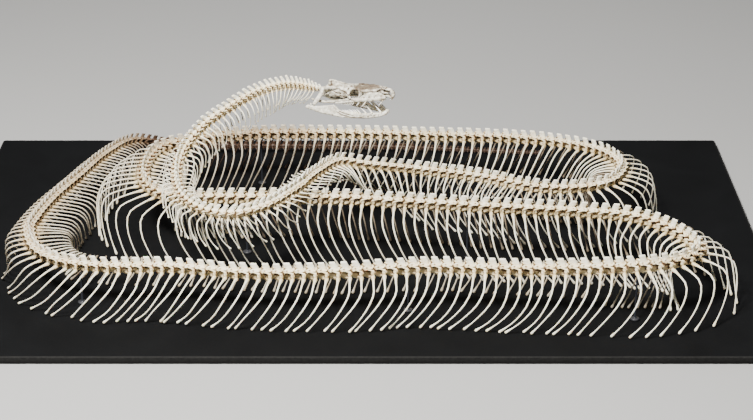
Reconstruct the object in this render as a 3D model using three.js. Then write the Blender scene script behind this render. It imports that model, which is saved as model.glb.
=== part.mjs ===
import * as THREE from 'three';

// Mounted python skeleton, life size, in millimetres, +Z up.
// The column lies in two stacked S-bends on a thin board and rises to a head that faces +X.
// Origin: centre of the underside of the board. -Y is the side the head is seen from.

const BOARD_LENGTH = 1340;
const BOARD_DEPTH = 860;
const BOARD_THICKNESS = 12;
const LAYOUT_SHIFT = new THREE.Vector3(33, -274, BOARD_THICKNESS);
const GAP = 0.3;

const ROD_RADIUS = 2.2;
const FOOT_RADIUS = 7;
const FOOT_HEIGHT = 3;
const ROD_SIDES = 6;
const ROD_STATIONS = [150, 182, 203, 234, 254, 284];

const BONE_COLOR = 0xe2d8c2;
const DARK_BONE_COLOR = 0xb9a88c;
const BOARD_COLOR = 0x15161a;
const ROD_COLOR = 0x1c1d20;

// Middle of the column from the skull to the tail tip, above the face of the board.
const ROUTE = [
  [-90, 318, 247], [-147, 328, 252], [-193, 325, 242], [-239, 308, 222], [-284, 282, 198],
  [-315, 243, 170], [-323, 194, 150], [-309, 134, 138], [-274, 92, 131], [-228, 79, 129],
  [-182, 102, 130], [-133, 164, 134], [-100, 238, 132], [-63, 304, 125], [-16, 322, 112],
  [59, 338, 98], [171, 316, 93], [273, 267, 94], [341, 267, 94], [390, 291, 95],
  [418, 360, 95], [396, 416, 96], [344, 450, 97], [262, 476, 97], [94, 489, 98],
  [-100, 499, 98], [-231, 494, 98], [-318, 468, 98], [-373, 433, 98], [-393, 357, 98],
  [-383, 274, 98], [-340, 224, 98], [-246, 210, 101], [-125, 202, 104], [-45, 192, 107],
  [38, 182, 106], [199, 166, 103], [340, 159, 98], [406, 144, 98], [447, 117, 98], [485, 68, 97],
  [497, 16, 97], [464, -17, 96], [406, -34, 95], [322, -29, 88], [212, -18, 81],
  [76, -4, 78], [-59, -14, 74], [-194, -8, 69.5], [-322, 14, 69.5], [-409, 14, 69.5],
  [-486, 32, 69], [-534, 75, 69], [-559, 144, 71], [-559, 185, 69], [-545, 281, 65],
  [-516, 387, 61], [-483, 509, 55], [-443, 600, 44], [-388, 628, 27], [-289, 633, 19],
  [-142, 639, 15], [44, 641, 12], [192, 634, 8], [311, 625, 6],
];

// Length of one vertebra against the distance from the skull.
const VERTEBRA_LENGTH = [
  [0, 5.8], [60, 8], [150, 10.2], [450, 12.3], [850, 14.8], [1500, 15.8], [2000, 16.8],
  [3200, 17.6], [3900, 17.5], [4300, 16.6], [4700, 15], [4900, 13.4], [5050, 11.8], [5731, 5],
];

// Reach of a vertebra up, sideways and down against the vertebra number.
const SPINE_HEIGHT = [
  [0, 7], [3, 12], [8, 14], [45, 13.6], [75, 12.8], [117, 12.8], [148, 13.5], [218, 14],
  [258, 14], [282, 13.3], [308, 12], [322, 10.7], [334, 9.4], [421, 4],
];
const HALF_WIDTH = [
  [0, 6], [8, 8], [20, 9.4], [45, 10.8], [70, 11.6], [80, 12.4], [117, 13], [218, 14.5],
  [258, 14.4], [282, 13.6], [308, 12.3], [322, 10.8], [334, 8.8], [421, 3.8],
];
const KEEL_DEPTH = [
  [0, 6], [3, 9.5], [8, 11.6], [20, 12.8], [45, 13], [70, 12.8], [80, 13.6], [117, 14.4], [218, 15.8],
  [258, 15.7], [282, 14.8], [308, 13.2], [322, 11.2], [334, 8.6], [421, 3.4],
];

const FIRST_RIB = 2;
const LAST_RIB = 329;
const FIRST_CURVED_RIB = 58;
const LAST_CURVED_RIB = 317;
const RESTING_FROM = 80;
const RIB_THICKNESS = 1.7;
const BEND_SPAN = 14;
const HANGS_SQUARE_TO = 52;
const HANGS_PLUMB_FROM = 64;
const INNER_SHARE = 0.62;

// Rib profiles against the vertebra number: drop, half spread at the tip, lean to the +side,
// sweep to the tail on the animal's left and right.
const RIB_DROP = [
  [2, 28], [5, 33], [9, 40], [12, 44], [16, 47], [25, 50], [31, 50], [35, 38], [41, 40],
  [47, 52], [53, 48], [57, 30], [60, 18], [64, 18], [67, 28], [70, 52], [76, 80], [80, 94],
];
const RIB_SPREAD = [
  [3, 8], [10, 13], [25, 22], [45, 30], [60, 32], [74, 36], [85, 52], [110, 62], [170, 64],
  [225, 62], [265, 66], [280, 64], [290, 52], [298, 42], [310, 36], [320, 26], [329, 12],
];
const RIB_LEAN = [
  [80, 0], [85, -12], [97, -12], [103, 0], [162, 0], [168, 14], [179, 14], [184, 0],
  [198, 0], [205, 14], [217, 14], [222, 0], [276, 0], [290, 15], [300, 22], [314, 20], [329, 2],
];
const LEFT_SWEEP = [
  [2, 15], [6, 14], [12, 7], [25, 12], [40, 18], [60, 28], [85, 34], [110, 38], [183, 38],
  [190, 44], [212, 44], [226, 36], [236, 24], [266, 22], [276, 30], [284, 44], [294, 50],
  [302, 26], [320, 14], [329, 6],
];
const RIGHT_SWEEP = [
  [2, 15], [6, 14], [12, 7], [25, 12], [40, 18], [60, 28], [85, 34], [104, 36], [150, 38],
  [165, 34], [183, 34], [190, 20], [212, 20], [226, 36], [236, 48], [268, 46], [276, 48],
  [282, 60], [288, 66], [294, 54], [302, 26], [320, 14], [329, 6],
];
// 1 where the sweep comes low on the rib, 0 where the rib slants evenly.
const RIB_CURL = [
  [0, 0.6], [60, 0.6], [84, 0.8], [98, 0.6], [110, 0.15], [152, 0.15], [166, 0.6], [184, 0.4],
  [214, 0.4], [226, 1], [233, 0.9], [236, 0.35], [241, 0.35], [243, 0.85], [247, 0.8], [250, 0.3],
  [262, 0.12], [290, 0.1], [330, 0.3],
];

const COLUMN_LENGTHS = [
  ['neck', [0, 22, 44, 64, 84]],
  ['trunk', [84, 102, 120, 139, 157, 175, 192, 209, 226, 243, 260, 275, 290, 310, 330]],
  ['tail', [330, 360, 390, 420]],
];

const UP = new THREE.Vector3(0, 0, 1);

function material(color, roughness) {
  return new THREE.MeshStandardMaterial({ color, roughness, metalness: 0 });
}

const bone = material(BONE_COLOR, 0.6);
const darkBone = material(DARK_BONE_COLOR, 0.7);
const boardPaint = material(BOARD_COLOR, 0.8);
const rodPaint = material(ROD_COLOR, 0.3);

// Straight-line value of a table of [position, value] rows.
function lookUp(table, at) {
  if (at <= table[0][0]) return table[0][1];
  for (let k = 1; k < table.length; k += 1) {
    const [x0, y0] = table[k - 1];
    const [x1, y1] = table[k];
    if (at <= x1) return y0 + ((y1 - y0) * (at - x0)) / (x1 - x0);
  }
  return table[table.length - 1][1];
}

// Repeatable scatter between -1 and 1.
function scatter(seed) {
  const wave = Math.sin(seed * 12.9898) * 43758.5453;
  return 2 * (wave - Math.floor(wave)) - 1;
}

// A closed faceted body, collected point by point.
class Facets {
  constructor() {
    this.points = [];
    this.faces = [];
  }

  point(vector) {
    this.points.push(vector.x, vector.y, vector.z);
    return this.points.length / 3 - 1;
  }

  face(a, b, c) {
    this.faces.push(a, b, c);
  }

  // Wall between two closed rings of the same number of points.
  wall(ring, next) {
    ring.forEach((a, k) => {
      const m = (k + 1) % ring.length;
      this.face(a, ring[m], next[m]);
      this.face(a, next[m], next[k]);
    });
  }

  cap(ring, facingBack) {
    for (let k = 1; k < ring.length - 1; k += 1) {
      if (facingBack) this.face(ring[0], ring[k + 1], ring[k]);
      else this.face(ring[0], ring[k], ring[k + 1]);
    }
  }

  // Spike from the triangle a, b, c to a tip.
  spike(a, b, c, tip) {
    const t = this.point(tip);
    this.face(a, b, t);
    this.face(b, c, t);
    this.face(c, a, t);
  }

  corner(index) {
    return new THREE.Vector3().fromArray(this.points, 3 * index);
  }

  // Six times the enclosed volume, below zero when the faces point in.
  volume() {
    let total = 0;
    for (let k = 0; k < this.faces.length; k += 3) {
      const [a, b, c] = this.faces.slice(k, k + 3).map((index) => this.corner(index));
      total += a.dot(b.cross(c));
    }
    return total;
  }

  mesh(name, finish) {
    if (this.volume() < 0) this.faces.reverse();
    const geometry = new THREE.BufferGeometry();
    geometry.setAttribute('position', new THREE.Float32BufferAttribute(this.points, 3));
    geometry.setIndex(this.faces);
    geometry.computeVertexNormals();
    const mesh = new THREE.Mesh(geometry, finish);
    mesh.name = name;
    return mesh;
  }
}

// Route of the column as a dense line with its running length.
const routeCurve = new THREE.CatmullRomCurve3(
  ROUTE.map(([x, y, z]) => new THREE.Vector3(x, y, z).add(LAYOUT_SHIFT)),
  false,
  'centripetal',
);
const line = routeCurve.getPoints((ROUTE.length - 1) * 80);
const running = [0];
for (let k = 1; k < line.length; k += 1) {
  running.push(running[k - 1] + line[k].distanceTo(line[k - 1]));
}
const TOTAL = running[running.length - 1];

function placeAt(distance) {
  const wanted = Math.min(Math.max(distance, 0), TOTAL);
  let low = 0;
  let high = running.length - 1;
  while (high - low > 1) {
    const middle = (low + high) >> 1;
    if (running[middle] <= wanted) low = middle;
    else high = middle;
  }
  const part = (wanted - running[low]) / (running[high] - running[low]);
  return line[low].clone().lerp(line[high], part);
}

// Each station is the front end of one vertebra.
const stations = [];
for (let at = 0; at < TOTAL; at += lookUp(VERTEBRA_LENGTH, at)) {
  const back = placeAt(at + BEND_SPAN).sub(placeAt(at - BEND_SPAN)).normalize();
  const side = back.clone().cross(UP).normalize();
  const up = side.clone().cross(back);
  const index = stations.length;
  const square = (HANGS_PLUMB_FROM - index) / (HANGS_PLUMB_FROM - HANGS_SQUARE_TO);
  stations.push({
    at,
    back,
    side,
    up,
    hang: UP.clone().lerp(up, Math.min(Math.max(square, 0), 1)).normalize(),
    centre: placeAt(at),
    length: lookUp(VERTEBRA_LENGTH, at),
    heading: Math.atan2(back.y, back.x),
    spine: lookUp(SPINE_HEIGHT, index),
    half: lookUp(HALF_WIDTH, index),
    keel: lookUp(KEEL_DEPTH, index),
  });
}

// Turn per millimetre, positive where the column turns to its +side, smoothed over 5 stations.
function turnAt(index) {
  let total = 0;
  let count = 0;
  for (let k = index - 2; k <= index + 2; k += 1) {
    if (k < 1 || k > stations.length - 2) continue;
    const turn = stations[k - 1].heading - stations[k + 1].heading;
    const wrapped = Math.atan2(Math.sin(turn), Math.cos(turn));
    total += wrapped / (stations[k + 1].at - stations[k - 1].at);
    count += 1;
  }
  return total / count;
}

// Widest a rib may reach towards the inside of a bend without meeting its neighbours.
function roomAt(index, sign) {
  let tightest = 0;
  for (let k = index - 6; k <= index + 6; k += 1) {
    const near = Math.min(Math.max(k, 1), stations.length - 2);
    tightest = Math.max(tightest, turnAt(near) * sign);
  }
  return tightest > 0 ? INNER_SHARE / tightest : Infinity;
}

// Ribs of the raised neck hang square to the column, all others plumb.
function offset(station, side, height, back) {
  return station.centre.clone()
    .addScaledVector(station.side, side)
    .addScaledVector(station.hang, height)
    .addScaledVector(new THREE.Vector3(station.back.x, station.back.y, 0.3 * station.back.z), back);
}

// Knee and tip of one rib; sign is +1 on the station's side and -1 on the other.
function ribPoints(index, sign) {
  const station = stations[index];
  const clearance = station.centre.z - BOARD_THICKNESS - 0.5;
  const free = lookUp(RIB_DROP, index);
  const drop = index < RESTING_FROM ? Math.min(free, clearance) : clearance;
  const inward = turnAt(index) * sign;
  const room = roomAt(index, sign);
  const shift = Math.max(Math.min(inward * 1400, 0), -4) + sign * lookUp(RIB_LEAN, index);
  const seed = 2 * index + (sign + 1) / 2;
  const loose = inward > 0.002 ? 0.2 : 1;
  const spread = Math.min(lookUp(RIB_SPREAD, index) + shift + 2.5 * loose * scatter(seed), room);
  const swept = lookUp(sign > 0 ? LEFT_SWEEP : RIGHT_SWEEP, index);
  const sweep = swept * (1 + 0.12 * loose * scatter(seed + 900));
  const curl = lookUp(RIB_CURL, index);
  const bulge = Math.min(Math.max(spread, 0.42 * drop + 8 * Math.min(1, drop / 60)), room);
  return {
    knee: offset(station, sign * bulge * 1.02, -0.34 * drop, (0.3 - 0.28 * curl) * sweep),
    tip: offset(station, sign * spread, -drop, sweep),
    lean: new THREE.Vector3(0, 0, 0.55).addScaledVector(station.side, 0.85 * sign),
    station,
  };
}

function addRib(body, root, upper, index, sign) {
  const rib = ribPoints(index, sign);
  if (index < FIRST_CURVED_RIB || index > LAST_CURVED_RIB) {
    body.spike(...root, rib.tip);
    return;
  }
  const half = RIB_THICKNESS;
  const knee = root.map((vertex, k) => {
    const place = rib.knee.clone();
    if (k === 2) place.addScaledVector(rib.station.back, 1.6 * half);
    else {
      place.addScaledVector(rib.station.back, -0.7 * half);
      place.addScaledVector(rib.lean, k === upper ? half : -half);
    }
    return body.point(place);
  });
  body.wall(root, knee);
  body.spike(...knee, rib.tip);
}

function columnRing(body, station, pullBack) {
  const { side, up, back, half } = station;
  const centre = station.centre.clone().addScaledVector(back, -pullBack);
  const corner = (across, high) => body.point(
    centre.clone().addScaledVector(side, across).addScaledVector(up, high),
  );
  return [
    corner(0, station.spine),
    corner(-half, 0),
    corner(0, -station.keel),
    corner(half, 0),
  ];
}

// One quarter of the surface between two rings, with a rib growing from its front half.
function ribbedQuarter(body, a, b, nextA, nextB, upper, index, sign) {
  const station = stations[index];
  const reach = 0.38 * station.length;
  const root = body.point(
    station.centre.clone()
      .addScaledVector(station.back, reach)
      .addScaledVector(station.side, sign * 0.6 * station.half)
      .addScaledVector(station.up, -0.44 * station.keel),
  );
  body.face(b, nextB, root);
  body.face(nextB, nextA, root);
  body.face(nextA, a, root);
  addRib(body, [a, b, root], upper, index, sign);
}

function plainQuarter(body, a, b, nextA, nextB) {
  body.face(a, b, nextB);
  body.face(a, nextB, nextA);
}

function columnLength(name, from, to, finish, step) {
  const body = new Facets();
  let ring = columnRing(body, stations[from], 0);
  body.cap(ring, true);
  for (let index = from; index < to; index += step) {
    const last = index + step >= to;
    const next = columnRing(body, stations[Math.min(index + step, to)], last ? GAP : 0);
    const [top, left, keel, right] = ring;
    const [nextTop, nextLeft, nextKeel, nextRight] = next;
    plainQuarter(body, top, left, nextTop, nextLeft);
    plainQuarter(body, right, top, nextRight, nextTop);
    if (index >= FIRST_RIB && index <= LAST_RIB) {
      ribbedQuarter(body, left, keel, nextLeft, nextKeel, 0, index, -1);
      ribbedQuarter(body, keel, right, nextKeel, nextRight, 1, index, 1);
    } else {
      plainQuarter(body, left, keel, nextLeft, nextKeel);
      plainQuarter(body, keel, right, nextKeel, nextRight);
    }
    ring = next;
  }
  body.cap(ring, false);
  return body.mesh(name, finish);
}

const skeleton = new THREE.Group();

const board = new THREE.Mesh(
  new THREE.BoxGeometry(BOARD_LENGTH, BOARD_DEPTH, BOARD_THICKNESS),
  boardPaint,
);
board.name = 'board';
board.position.z = BOARD_THICKNESS / 2;
skeleton.add(board);

ROD_STATIONS.forEach((index, k) => {
  const station = stations[index];
  const top = station.centre.z - station.keel - 4 * GAP;
  const bottom = BOARD_THICKNESS + GAP;
  const profile = [
    [0, 0], [FOOT_RADIUS, 0], [FOOT_RADIUS, FOOT_HEIGHT],
    [ROD_RADIUS, FOOT_HEIGHT], [ROD_RADIUS, top - bottom], [0, top - bottom],
  ].map(([radius, height]) => new THREE.Vector2(radius, height));
  const rod = new THREE.Mesh(new THREE.LatheGeometry(profile, ROD_SIDES), rodPaint);
  rod.name = `rod_${k + 1}`;
  rod.rotation.x = Math.PI / 2;
  rod.position.set(station.centre.x, station.centre.y, bottom);
  skeleton.add(rod);
});

COLUMN_LENGTHS.forEach(([region, cuts]) => {
  for (let k = 0; k < cuts.length - 1; k += 1) {
    const number = String(k + 1).padStart(2, '0');
    const finish = region === 'tail' ? darkBone : bone;
    const step = region === 'tail' ? 3 : 1;
    skeleton.add(columnLength(`${region}_${number}`, cuts[k], cuts[k + 1], finish, step));
  }
});

// Skull, in its own frame: +X to the snout, +Z up, from the joint with the first vertebra.
const HEAD_TURN = 22;
const SKULL_PLACE = new THREE.Vector3(-90, 318, 247).add(LAYOUT_SHIFT);

// Braincase and snout: distance forward, half width, top, bottom.
const CRANIUM = [
  [4.2, 6, 4.2, -6.3], [9.7, 12.5, 7.9, -7.1], [17.3, 13.5, 16, -7.1], [29.1, 13.5, 14.3, -6.9],
  [44.2, 11.5, 14.2, -3.8], [56.1, 10.5, 13.8, -0.7], [66.9, 13, 14.9, 3.3],
  [86.3, 11.3, 17.6, 6], [102.5, 8.5, 18.3, 7.3], [113.2, 6, 17.3, 6.8], [121.3, 4.5, 15.9, 3.9],
  [127.8, 3.5, 8.3, 1.8],
];
const CRANIUM_SECTION = [
  [0.4, 1], [1, 0.45], [1, -0.35], [0.5, -1], [-0.5, -1], [-1, -0.35], [-1, 0.45], [-0.4, 1],
];

function craniumMesh() {
  const body = new Facets();
  const rings = CRANIUM.map(([forward, half, top, bottom]) => {
    const middle = (top + bottom) / 2;
    const tall = (top - bottom) / 2;
    return CRANIUM_SECTION.map(([across, high]) => body.point(
      new THREE.Vector3(forward, across * half, middle + high * tall),
    ));
  });
  body.cap(rings[0], true);
  for (let k = 1; k < rings.length; k += 1) body.wall(rings[k - 1], rings[k]);
  body.cap(rings[rings.length - 1], false);
  return body.mesh('cranium', bone);
}

// Long jaw or palate bone of four faces, with recurved teeth along one of them.
// Rows: forward, sideways, height, half thickness, half height. teeth: [from, to, longest].
function jawBone(name, rows, side, steps, teeth) {
  const body = new Facets();
  const along = (t, column) => lookUp(rows.map((row, k) => [k / (rows.length - 1), row[column]]), t);
  let previous = null;
  for (let k = 0; k <= steps; k += 1) {
    const t = k / steps;
    const place = new THREE.Vector3(along(t, 0), side * along(t, 1), along(t, 2));
    const thick = along(t, 3);
    const tall = along(t, 4);
    const ring = [[thick, tall], [thick, -tall], [-thick, -tall], [-thick, tall]].map(
      ([across, high]) => body.point(place.clone().add(new THREE.Vector3(0, across, high))),
    );
    if (previous === null) body.cap(ring, false);
    else {
      for (let m = 0; m < 4; m += 1) {
        const n = (m + 1) % 4;
        const toothed = teeth && m === (teeth.down ? 1 : 3) && k > teeth.from && k <= teeth.to;
        body.face(previous[m], ring[n], previous[n]);
        if (toothed) {
          const share = (k - teeth.from) / (teeth.to - teeth.from);
          const length = teeth.longest * (0.45 + 0.55 * share);
          const direction = new THREE.Vector3(-0.45, 0, teeth.down ? -1 : 1);
          const edge = place.clone().add(new THREE.Vector3(-1.5, 0, teeth.down ? -tall : tall));
          body.spike(previous[m], ring[m], ring[n], edge.addScaledVector(direction, length));
        } else body.face(previous[m], ring[m], ring[n]);
      }
    }
    previous = ring;
  }
  body.cap(previous, true);
  return body.mesh(name, bone);
}

const skull = new THREE.Group();
skull.position.copy(SKULL_PLACE);
skull.rotation.z = -THREE.MathUtils.degToRad(HEAD_TURN);
skull.add(craniumMesh());
const MAXILLA = [
  [35.8, 24.5, -11.2, 1.4, 1.6], [58.3, 21.5, -6.2, 2, 3.4], [74.1, 18, -1.8, 2.2, 5.4],
  [94.2, 14.2, 3.8, 2.2, 7.3], [108.1, 11.3, 5, 2.1, 7], [116.2, 8.6, 5, 1.6, 3.6],
];
const MANDIBLE = [
  [-13.4, 31, -22.5, 2.6, 3], [1.7, 31, -23.2, 2.8, 4.6], [19.8, 30.3, -23.7, 2.8, 7.5],
  [34.3, 28.8, -23, 2.6, 9], [43.5, 27.6, -26.7, 2.6, 6.5], [60.8, 25, -28.8, 2.5, 4.8],
  [79.7, 21, -29.2, 2.5, 4.5], [96.9, 15.5, -27.3, 2.5, 4.6], [109.3, 9, -26.3, 2.3, 3.4],
  [116.6, 3, -25.4, 2, 2.2],
];
const PALATE = [
  [-7.9, 20.5, -12.7, 1.8, 2.6], [12.5, 17.5, -15.5, 2.6, 1.9], [38.2, 14.5, -10.6, 3, 1.8],
  [68.3, 9, -5.2, 2.2, 1.6], [96.9, 5, -0.1, 1.8, 1.3],
];
const QUADRATE = [
  [27.6, 14.8, 11.6, 1.6, 1.5], [10.6, 20, 7.9, 2.2, 3.4], [7.4, 23, -1.6, 2.2, 4.2],
  [3.1, 27, -9.3, 2.2, 4.2], [-0.8, 30, -15.1, 2.4, 2.9],
];
[['left', 1], ['right', -1]].forEach(([word, side]) => {
  skull.add(jawBone(`maxilla_${word}`, MAXILLA, side, 15, {
    down: true, from: 4, to: 15, longest: 11,
  }));
  skull.add(jawBone(`mandible_${word}`, MANDIBLE, side, 18, {
    down: false, from: 9, to: 18, longest: 13,
  }));
  skull.add(jawBone(`palate_${word}`, PALATE, side, 4, null));
  skull.add(jawBone(`quadrate_${word}`, QUADRATE, side, 4, null));
});
skeleton.add(skull);

export default skeleton;
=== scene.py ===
"""Mounted python skeleton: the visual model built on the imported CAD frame, in metres."""

import math

import bpy
import numpy as np
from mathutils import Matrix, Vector


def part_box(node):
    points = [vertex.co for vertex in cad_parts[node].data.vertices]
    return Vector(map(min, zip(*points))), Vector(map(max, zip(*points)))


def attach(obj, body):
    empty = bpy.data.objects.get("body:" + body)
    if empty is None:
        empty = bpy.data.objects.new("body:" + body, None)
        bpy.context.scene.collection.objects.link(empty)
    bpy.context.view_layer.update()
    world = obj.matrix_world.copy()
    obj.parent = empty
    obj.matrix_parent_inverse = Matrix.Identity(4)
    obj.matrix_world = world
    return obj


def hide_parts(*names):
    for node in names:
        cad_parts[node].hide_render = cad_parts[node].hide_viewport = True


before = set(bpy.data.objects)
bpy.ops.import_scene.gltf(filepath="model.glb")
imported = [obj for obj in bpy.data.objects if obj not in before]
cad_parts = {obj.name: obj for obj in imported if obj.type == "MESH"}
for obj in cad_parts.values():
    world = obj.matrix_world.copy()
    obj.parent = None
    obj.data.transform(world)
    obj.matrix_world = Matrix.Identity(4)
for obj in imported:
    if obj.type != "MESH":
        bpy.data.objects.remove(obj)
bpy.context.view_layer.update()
MM = 0.001

# ---------------------------------------------------------------- layout, as in the CAD part
# Millimetres. The route's own origin is here on the board, and z is the board's top.
SHIFT = np.array((33, -274, 12))
CAMERA_PLACE = np.array((0, -2707.47, 1374.7))
CAMERA_DOWN = 24
BOARD_HALF = np.array((670, 430))
BOARD_CORNER = 6
ROUTE = np.array([
    (-90, 318, 247), (-147, 328, 252), (-193, 325, 242), (-239, 308, 222), (-284, 282, 198),
    (-315, 243, 170), (-323, 194, 150), (-309, 134, 138), (-274, 92, 131), (-228, 79, 129),
    (-182, 102, 130), (-133, 164, 134), (-100, 238, 132), (-63, 304, 125), (-16, 322, 112),
    (59, 338, 98), (171, 316, 93), (273, 267, 94), (341, 267, 94), (390, 291, 95),
    (418, 360, 95), (396, 416, 96), (344, 450, 97), (262, 476, 97), (94, 489, 98),
    (-100, 499, 98), (-231, 494, 98), (-318, 468, 98), (-373, 433, 98), (-393, 357, 98),
    (-383, 274, 98), (-340, 224, 98), (-246, 210, 101), (-125, 202, 104), (-45, 192, 107),
    (38, 182, 106), (199, 166, 103), (340, 159, 98), (406, 144, 98), (447, 117, 98), (485, 68, 97),
    (497, 16, 97), (464, -17, 96), (406, -34, 95), (322, -29, 88), (212, -18, 81),
    (76, -4, 78), (-59, -14, 74), (-194, -8, 69.5), (-322, 14, 69.5), (-409, 14, 69.5),
    (-486, 32, 69), (-534, 75, 69), (-559, 144, 71), (-559, 185, 69), (-545, 281, 65),
    (-516, 387, 61), (-483, 509, 55), (-443, 600, 44), (-388, 628, 27), (-289, 633, 19),
    (-142, 639, 15), (44, 641, 12), (192, 634, 8), (311, 625, 6),
], float) + SHIFT
# Vertebra length by distance from the skull; the tables after it go by the vertebra's number.
VERTEBRA_LENGTH = {
    0: 5.8, 60: 8, 150: 10.2, 450: 12.3, 850: 14.8, 1500: 15.8, 2000: 16.8, 3200: 17.6,
    3900: 17.5, 4300: 16.6, 4700: 15, 4900: 13.4, 5050: 11.8, 5731: 5,
}
SPINE_HEIGHT = {
    0: 7, 3: 12, 8: 14, 45: 13.6, 75: 12.8, 117: 12.8, 148: 13.5, 218: 14, 258: 14, 282: 13.3,
    308: 12, 322: 10.7, 334: 9.4, 421: 4,
}
HALF_WIDTH = {
    0: 6, 8: 8, 20: 9.4, 45: 10.8, 70: 11.6, 80: 12.4, 117: 13, 218: 14.5, 258: 14.4, 282: 13.6,
    308: 12.3, 322: 10.8, 334: 8.8, 421: 3.8,
}
KEEL_DEPTH = {
    0: 6, 3: 9.5, 8: 11.6, 20: 12.8, 45: 13, 70: 12.8, 80: 13.6, 117: 14.4, 218: 15.8, 258: 15.7,
    282: 14.8, 308: 13.2, 322: 11.2, 334: 8.6, 421: 3.4,
}
FIRST_RIB, LAST_RIB = 2, 329
NECK_VERTEBRAE = 62
# Ribs hang square to the neck up to the first number, and plumb from the second on.
HANGS_SQUARE_TO, HANGS_PLUMB_FROM = 52, 64
RESTING_FROM = 80
TIP_CLEARANCE = 0.5
# The column's direction is taken over this reach to either side.
BEND_SPAN = 14
# Ribs on the inside of a bend keep to this share of its radius, and closely alike if it is tight.
INNER_SHARE = 0.62
TIGHT_TURN = 0.002
# On the outside of a bend they come in by the turn times this, up to the second number.
OUTER_PULL, MOST_PULL = 1400, 4
# A rib that drops this far has its full size, and so has the rib of a vertebra this long.
FULL_DROP, FULL_LENGTH = 60, 17.5
RIB_DROP = {
    2: 28, 5: 33, 9: 40, 12: 44, 16: 47, 25: 50, 31: 50, 35: 38, 41: 40, 47: 52, 53: 48, 57: 30,
    60: 18, 64: 18, 67: 28, 70: 52, 76: 80, 80: 94,
}
RIB_SPREAD = {
    3: 8, 10: 13, 25: 22, 45: 30, 60: 32, 74: 36, 85: 52, 110: 62, 170: 64, 225: 62, 265: 66,
    280: 64, 290: 52, 298: 42, 310: 36, 320: 26, 329: 12,
}
RIB_LEAN = {
    80: 0, 85: -12, 97: -12, 103: 0, 162: 0, 168: 14, 179: 14, 184: 0, 198: 0, 205: 14, 217: 14,
    222: 0, 276: 0, 290: 15, 300: 22, 314: 20, 329: 2,
}
LEFT_SWEEP = {
    2: 15, 6: 14, 12: 7, 25: 12, 40: 18, 60: 28, 85: 34, 110: 38, 183: 38, 190: 44, 212: 44,
    226: 36, 236: 24, 266: 22, 276: 30, 284: 44, 294: 50, 302: 26, 320: 14, 329: 6,
}
RIGHT_SWEEP = {
    2: 15, 6: 14, 12: 7, 25: 12, 40: 18, 60: 28, 85: 34, 104: 36, 150: 38, 165: 34, 183: 34,
    190: 20, 212: 20, 226: 36, 236: 48, 268: 46, 276: 48, 282: 60, 288: 66, 294: 54, 302: 26,
    320: 14, 329: 6,
}
RIB_CURL = {
    0: 0.6, 60: 0.6, 84: 0.8, 98: 0.6, 110: 0.15, 152: 0.15, 166: 0.6, 184: 0.4, 214: 0.4, 226: 1,
    233: 0.9, 236: 0.35, 241: 0.35, 243: 0.85, 247: 0.8, 250: 0.3, 262: 0.12, 290: 0.1, 330: 0.3,
}
COLUMN_LENGTHS = {
    "neck": (0, 22, 44, 64, 84),
    "trunk": (84, 102, 120, 139, 157, 175, 192, 209, 226, 243, 260, 275, 290, 310, 330),
    "tail": (330, 360, 390, 421),
}
# How dark and dirty the bones are, by number of vertebra; the darkest values, on the tail row, are
# painted shade.
AGE_AND_SHADE = {
    0: 0.10, 60: 0.14, 90: 0.12, 140: 0.16, 146: 0.62, 153: 0.68, 160: 0.42, 176: 0.2, 215: 0.10,
    235: 0, 280: 0, 293: 0.56, 322: 0.62, 332: 1.1, 422: 1.3,
}


def look_up(table, at):
    """Value, or row of values, between the entries of a table {place: value}."""
    values = np.array(list(table.values()), float)
    if values.ndim == 1:
        return np.interp(at, list(table), values)
    return [np.interp(at, list(table), column) for column in values.T]


def unit(rows):
    return rows / np.linalg.norm(rows, axis=1)[:, None]


def scatter(seed):
    """The same number from -1 to 1 for the same seed."""
    wave = math.sin(seed * 12.9898) * 43758.5453
    return 2 * (wave - math.floor(wave)) - 1


def route_line(points, per_span=80):
    """Centripetal Catmull-Rom line through the points."""
    line = []
    last = len(points) - 1
    for k in range(last):
        p1, p2 = points[k], points[k + 1]
        p0 = points[k - 1] if k else 2 * p1 - p2
        p3 = points[k + 2] if k + 2 <= last else 2 * p2 - p1
        d0, d1, d2 = (math.sqrt(np.linalg.norm(b - a)) for a, b in ((p0, p1), (p1, p2), (p2, p3)))
        out = ((p1 - p0) / d0 - (p2 - p0) / (d0 + d1) + (p2 - p1) / d1) * d1
        into = ((p2 - p1) / d1 - (p3 - p1) / (d1 + d2) + (p3 - p2) / d2) * d1
        t = np.linspace(0, 1, per_span, endpoint=False)[:, None]
        line.append(p1 + out * t + (3 * (p2 - p1) - 2 * out - into) * t**2
                    + (2 * (p1 - p2) + out + into) * t**3)
    line.append(points[-1:])
    return np.concatenate(line)


def running_length(line):
    return np.concatenate([[0], np.cumsum(np.linalg.norm(np.diff(line, axis=0), axis=1))])


def points_along(line, running, distance):
    return np.stack([np.interp(distance, running, line[:, k]) for k in range(3)], -1)


LINE = route_line(ROUTE)
RUNNING = running_length(LINE)
TOTAL = RUNNING[-1]

# One station for each vertebra.
starts = [0]
while starts[-1] + look_up(VERTEBRA_LENGTH, starts[-1]) < TOTAL:
    starts.append(starts[-1] + look_up(VERTEBRA_LENGTH, starts[-1]))
AT = np.array(starts)
COUNT = len(AT)
LENGTH = look_up(VERTEBRA_LENGTH, AT)
CENTRE = points_along(LINE, RUNNING, AT)
BACK = unit(points_along(LINE, RUNNING, np.minimum(AT + BEND_SPAN, TOTAL))
            - points_along(LINE, RUNNING, np.maximum(AT - BEND_SPAN, 0)))
SIDE = unit(np.cross(BACK, (0, 0, 1)))
RISE = np.cross(SIDE, BACK)
NUMBER = np.arange(COUNT)
SPINE = look_up(SPINE_HEIGHT, NUMBER)
HALF = look_up(HALF_WIDTH, NUMBER)
KEEL = look_up(KEEL_DEPTH, NUMBER)
SQUARE = np.clip((HANGS_PLUMB_FROM - NUMBER) / (HANGS_PLUMB_FROM - HANGS_SQUARE_TO), 0, 1)
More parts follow.
